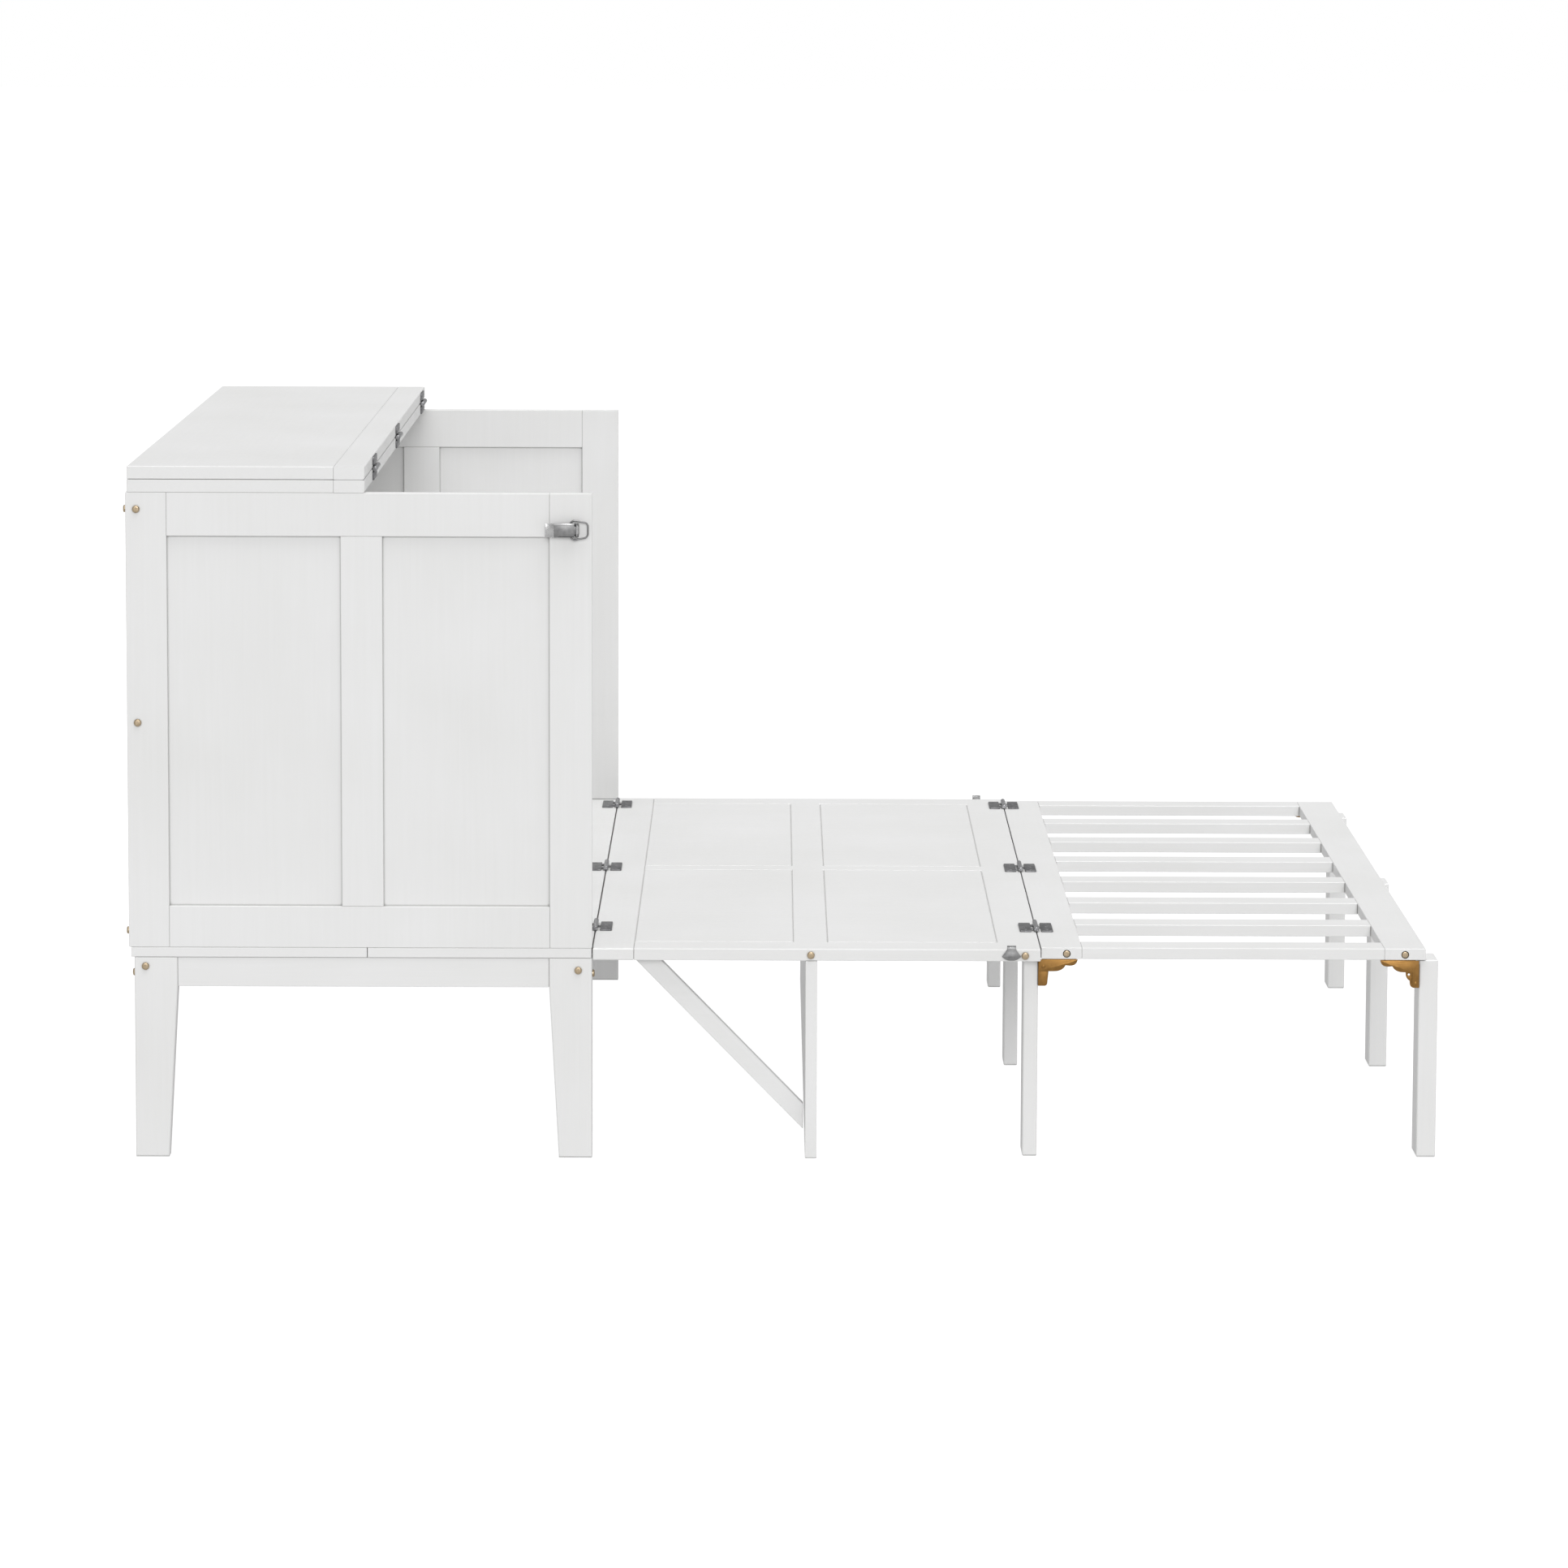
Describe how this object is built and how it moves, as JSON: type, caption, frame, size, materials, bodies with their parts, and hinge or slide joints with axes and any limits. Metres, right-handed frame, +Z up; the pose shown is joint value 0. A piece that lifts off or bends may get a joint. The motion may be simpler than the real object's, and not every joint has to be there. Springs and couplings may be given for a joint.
{
  "type": "cabinet bed",
  "caption": "Free-standing cabinet bed, unfolded: panelled cabinet with a folding lid, drop-down front panel, and a slatted foot section on folding legs.",
  "frame": {"origin": "on the floor, in the middle of the opened bed's box", "axes": "+X from the cabinet to the foot, +Y to the far side, +Z up"},
  "size_m": [2.1084, 1.633, 1.1168],
  "materials": {
    "painted_wood": "white satin lacquer on beech board",
    "hinge_steel": "dark blued steel",
    "latch_steel": "zinc-plated pressed steel",
    "bolt_brass": "antique brass",
    "bracket_zinc": "yellow-brown passivated steel"
  },
  "bodies": {
    "cabinet": {"side_frame_near": "painted_wood", "side_frame_far": "painted_wood", "side_infill_near": "painted_wood", "side_infill_far": "painted_wood", "back_frame": "painted_wood", "back_infill": "painted_wood", "base_board_rear": "painted_wood", "base_board_front": "painted_wood", "base_bearers": "painted_wood", "side_aprons": "painted_wood", "rear_apron": "painted_wood", "front_apron": "painted_wood", "rear_legs": "painted_wood", "front_legs": "painted_wood", "cabinet_bolts": "bolt_brass", "lid_rear_board": "painted_wood", "lid_rear_edging": "painted_wood", "lid_hinges_fixed": "hinge_steel", "base_hinges_fixed": "hinge_steel", "latch_bases": "latch_steel"},
    "lid_flap": {"lid_flap_board": "painted_wood", "lid_flap_edging": "painted_wood", "lid_hinges_moving": "hinge_steel"},
    "front_panel": {"front_panel_seam_board": "painted_wood", "front_panel_frame": "painted_wood", "front_panel_fields": "painted_wood", "front_panel_bolts": "bolt_brass", "latch_strikes": "latch_steel", "base_hinges_moving": "hinge_steel", "foot_hinges_fixed": "hinge_steel", "underside_hinges_fixed": "hinge_steel"},
    "foot_section": {"foot_seam_board": "painted_wood", "foot_end_board": "painted_wood", "foot_side_rails": "painted_wood", "foot_slats": "painted_wood", "foot_bolts": "bolt_brass", "foot_hinges_moving": "hinge_steel", "leg_bracket_plates": "bracket_zinc"},
    "support": {"support_board": "painted_wood", "support_hinges_moving": "hinge_steel"},
    "brace_near": {"brace_near": "painted_wood", "brace_near_hinge_leaf": "hinge_steel"},
    "brace_far": {"brace_far": "painted_wood", "brace_far_hinge_leaf": "hinge_steel"},
    "seam_leg_near": {"seam_leg_near": "painted_wood", "seam_leg_near_bracket_arm": "bracket_zinc"},
    "seam_leg_centre": {"seam_leg_centre": "painted_wood", "seam_leg_centre_bracket_arm": "bracket_zinc"},
    "seam_leg_far": {"seam_leg_far": "painted_wood", "seam_leg_far_bracket_arm": "bracket_zinc"},
    "end_leg_near": {"end_leg_near": "painted_wood", "end_leg_near_bracket_arm": "bracket_zinc"},
    "end_leg_centre": {"end_leg_centre": "painted_wood", "end_leg_centre_bracket_arm": "bracket_zinc"},
    "end_leg_far": {"end_leg_far": "painted_wood", "end_leg_far_bracket_arm": "bracket_zinc"},
    "lever_near": {"latch_lever_near": "latch_steel"},
    "bail_near": {"latch_bail_near": "latch_steel"},
    "lever_far": {"latch_lever_far": "latch_steel"},
    "bail_far": {"latch_bail_far": "latch_steel"}
  },
  "joints": [
    {"name": "lid_fold", "type": "hinge", "parent": "cabinet", "child": "lid_flap", "pos_m": [-0.6654, 0, 1.0959], "axis": [0, 1, 0], "range_deg": [0, 180]},
    {"name": "panel_fold", "type": "hinge", "parent": "cabinet", "child": "front_panel", "pos_m": [-0.3076, 0, 0.3462], "axis": [0, -1, 0], "range_deg": [0, 90]},
    {"name": "foot_fold", "type": "hinge", "parent": "front_panel", "child": "foot_section", "pos_m": [0.4134, 0, 0.3462], "axis": [0, -1, 0], "range_deg": [0, 180]},
    {"name": "support_fold", "type": "hinge", "parent": "front_panel", "child": "support", "pos_m": [0.0572, 0, 0.3197], "axis": [0, -1, 0], "range_deg": [0, 90]},
    {"name": "brace_near_fold", "type": "hinge", "parent": "front_panel", "child": "brace_near", "pos_m": [-0.2188, -0.7547, 0.3197], "axis": [1, 0, 0], "range_deg": [0, 90]},
    {"name": "brace_far_fold", "type": "hinge", "parent": "front_panel", "child": "brace_far", "pos_m": [-0.2188, 0.7547, 0.3197], "axis": [-1, 0, 0], "range_deg": [0, 90]},
    {"name": "seam_leg_near_fold", "type": "hinge", "parent": "foot_section", "child": "seam_leg_near", "pos_m": [0.418, -0.7415, 0.311], "axis": [0, -1, 0], "range_deg": [0, 90]},
    {"name": "seam_leg_centre_fold", "type": "hinge", "parent": "foot_section", "child": "seam_leg_centre", "pos_m": [0.418, 0, 0.311], "axis": [0, -1, 0], "range_deg": [0, 90]},
    {"name": "seam_leg_far_fold", "type": "hinge", "parent": "foot_section", "child": "seam_leg_far", "pos_m": [0.418, 0.7415, 0.311], "axis": [0, -1, 0], "range_deg": [0, 90]},
    {"name": "end_leg_near_fold", "type": "hinge", "parent": "foot_section", "child": "end_leg_near", "pos_m": [1.0174, -0.7415, 0.2855], "axis": [0, 1, 0], "range_deg": [0, 90]},
    {"name": "end_leg_centre_fold", "type": "hinge", "parent": "foot_section", "child": "end_leg_centre", "pos_m": [1.0174, 0, 0.2855], "axis": [0, 1, 0], "range_deg": [0, 90]},
    {"name": "end_leg_far_fold", "type": "hinge", "parent": "foot_section", "child": "end_leg_far", "pos_m": [1.0174, 0.7415, 0.2855], "axis": [0, 1, 0], "range_deg": [0, 90]},
    {"name": "lever_near_turn", "type": "hinge", "parent": "cabinet", "child": "lever_near", "pos_m": [-0.3316, -0.8075, 1.0174], "axis": [0, 0, 1], "range_deg": [0, 110]},
    {"name": "bail_near_turn", "type": "hinge", "parent": "lever_near", "child": "bail_near", "pos_m": [-0.3422, -0.8075, 1.0174], "axis": [0, 0, -1], "range_deg": [0, 110]},
    {"name": "lever_far_turn", "type": "hinge", "parent": "cabinet", "child": "lever_far", "pos_m": [-0.3316, 0.8075, 1.0174], "axis": [0, 0, -1], "range_deg": [0, 110]},
    {"name": "bail_far_turn", "type": "hinge", "parent": "lever_far", "child": "bail_far", "pos_m": [-0.3422, 0.8075, 1.0174], "axis": [0, 0, 1], "range_deg": [0, 110]}
  ],
  "couplings": [
    {"joint": "bail_near_turn", "follows": "lever_near_turn", "ratio": 1},
    {"joint": "bail_far_turn", "follows": "lever_far_turn", "ratio": 1}
  ]
}
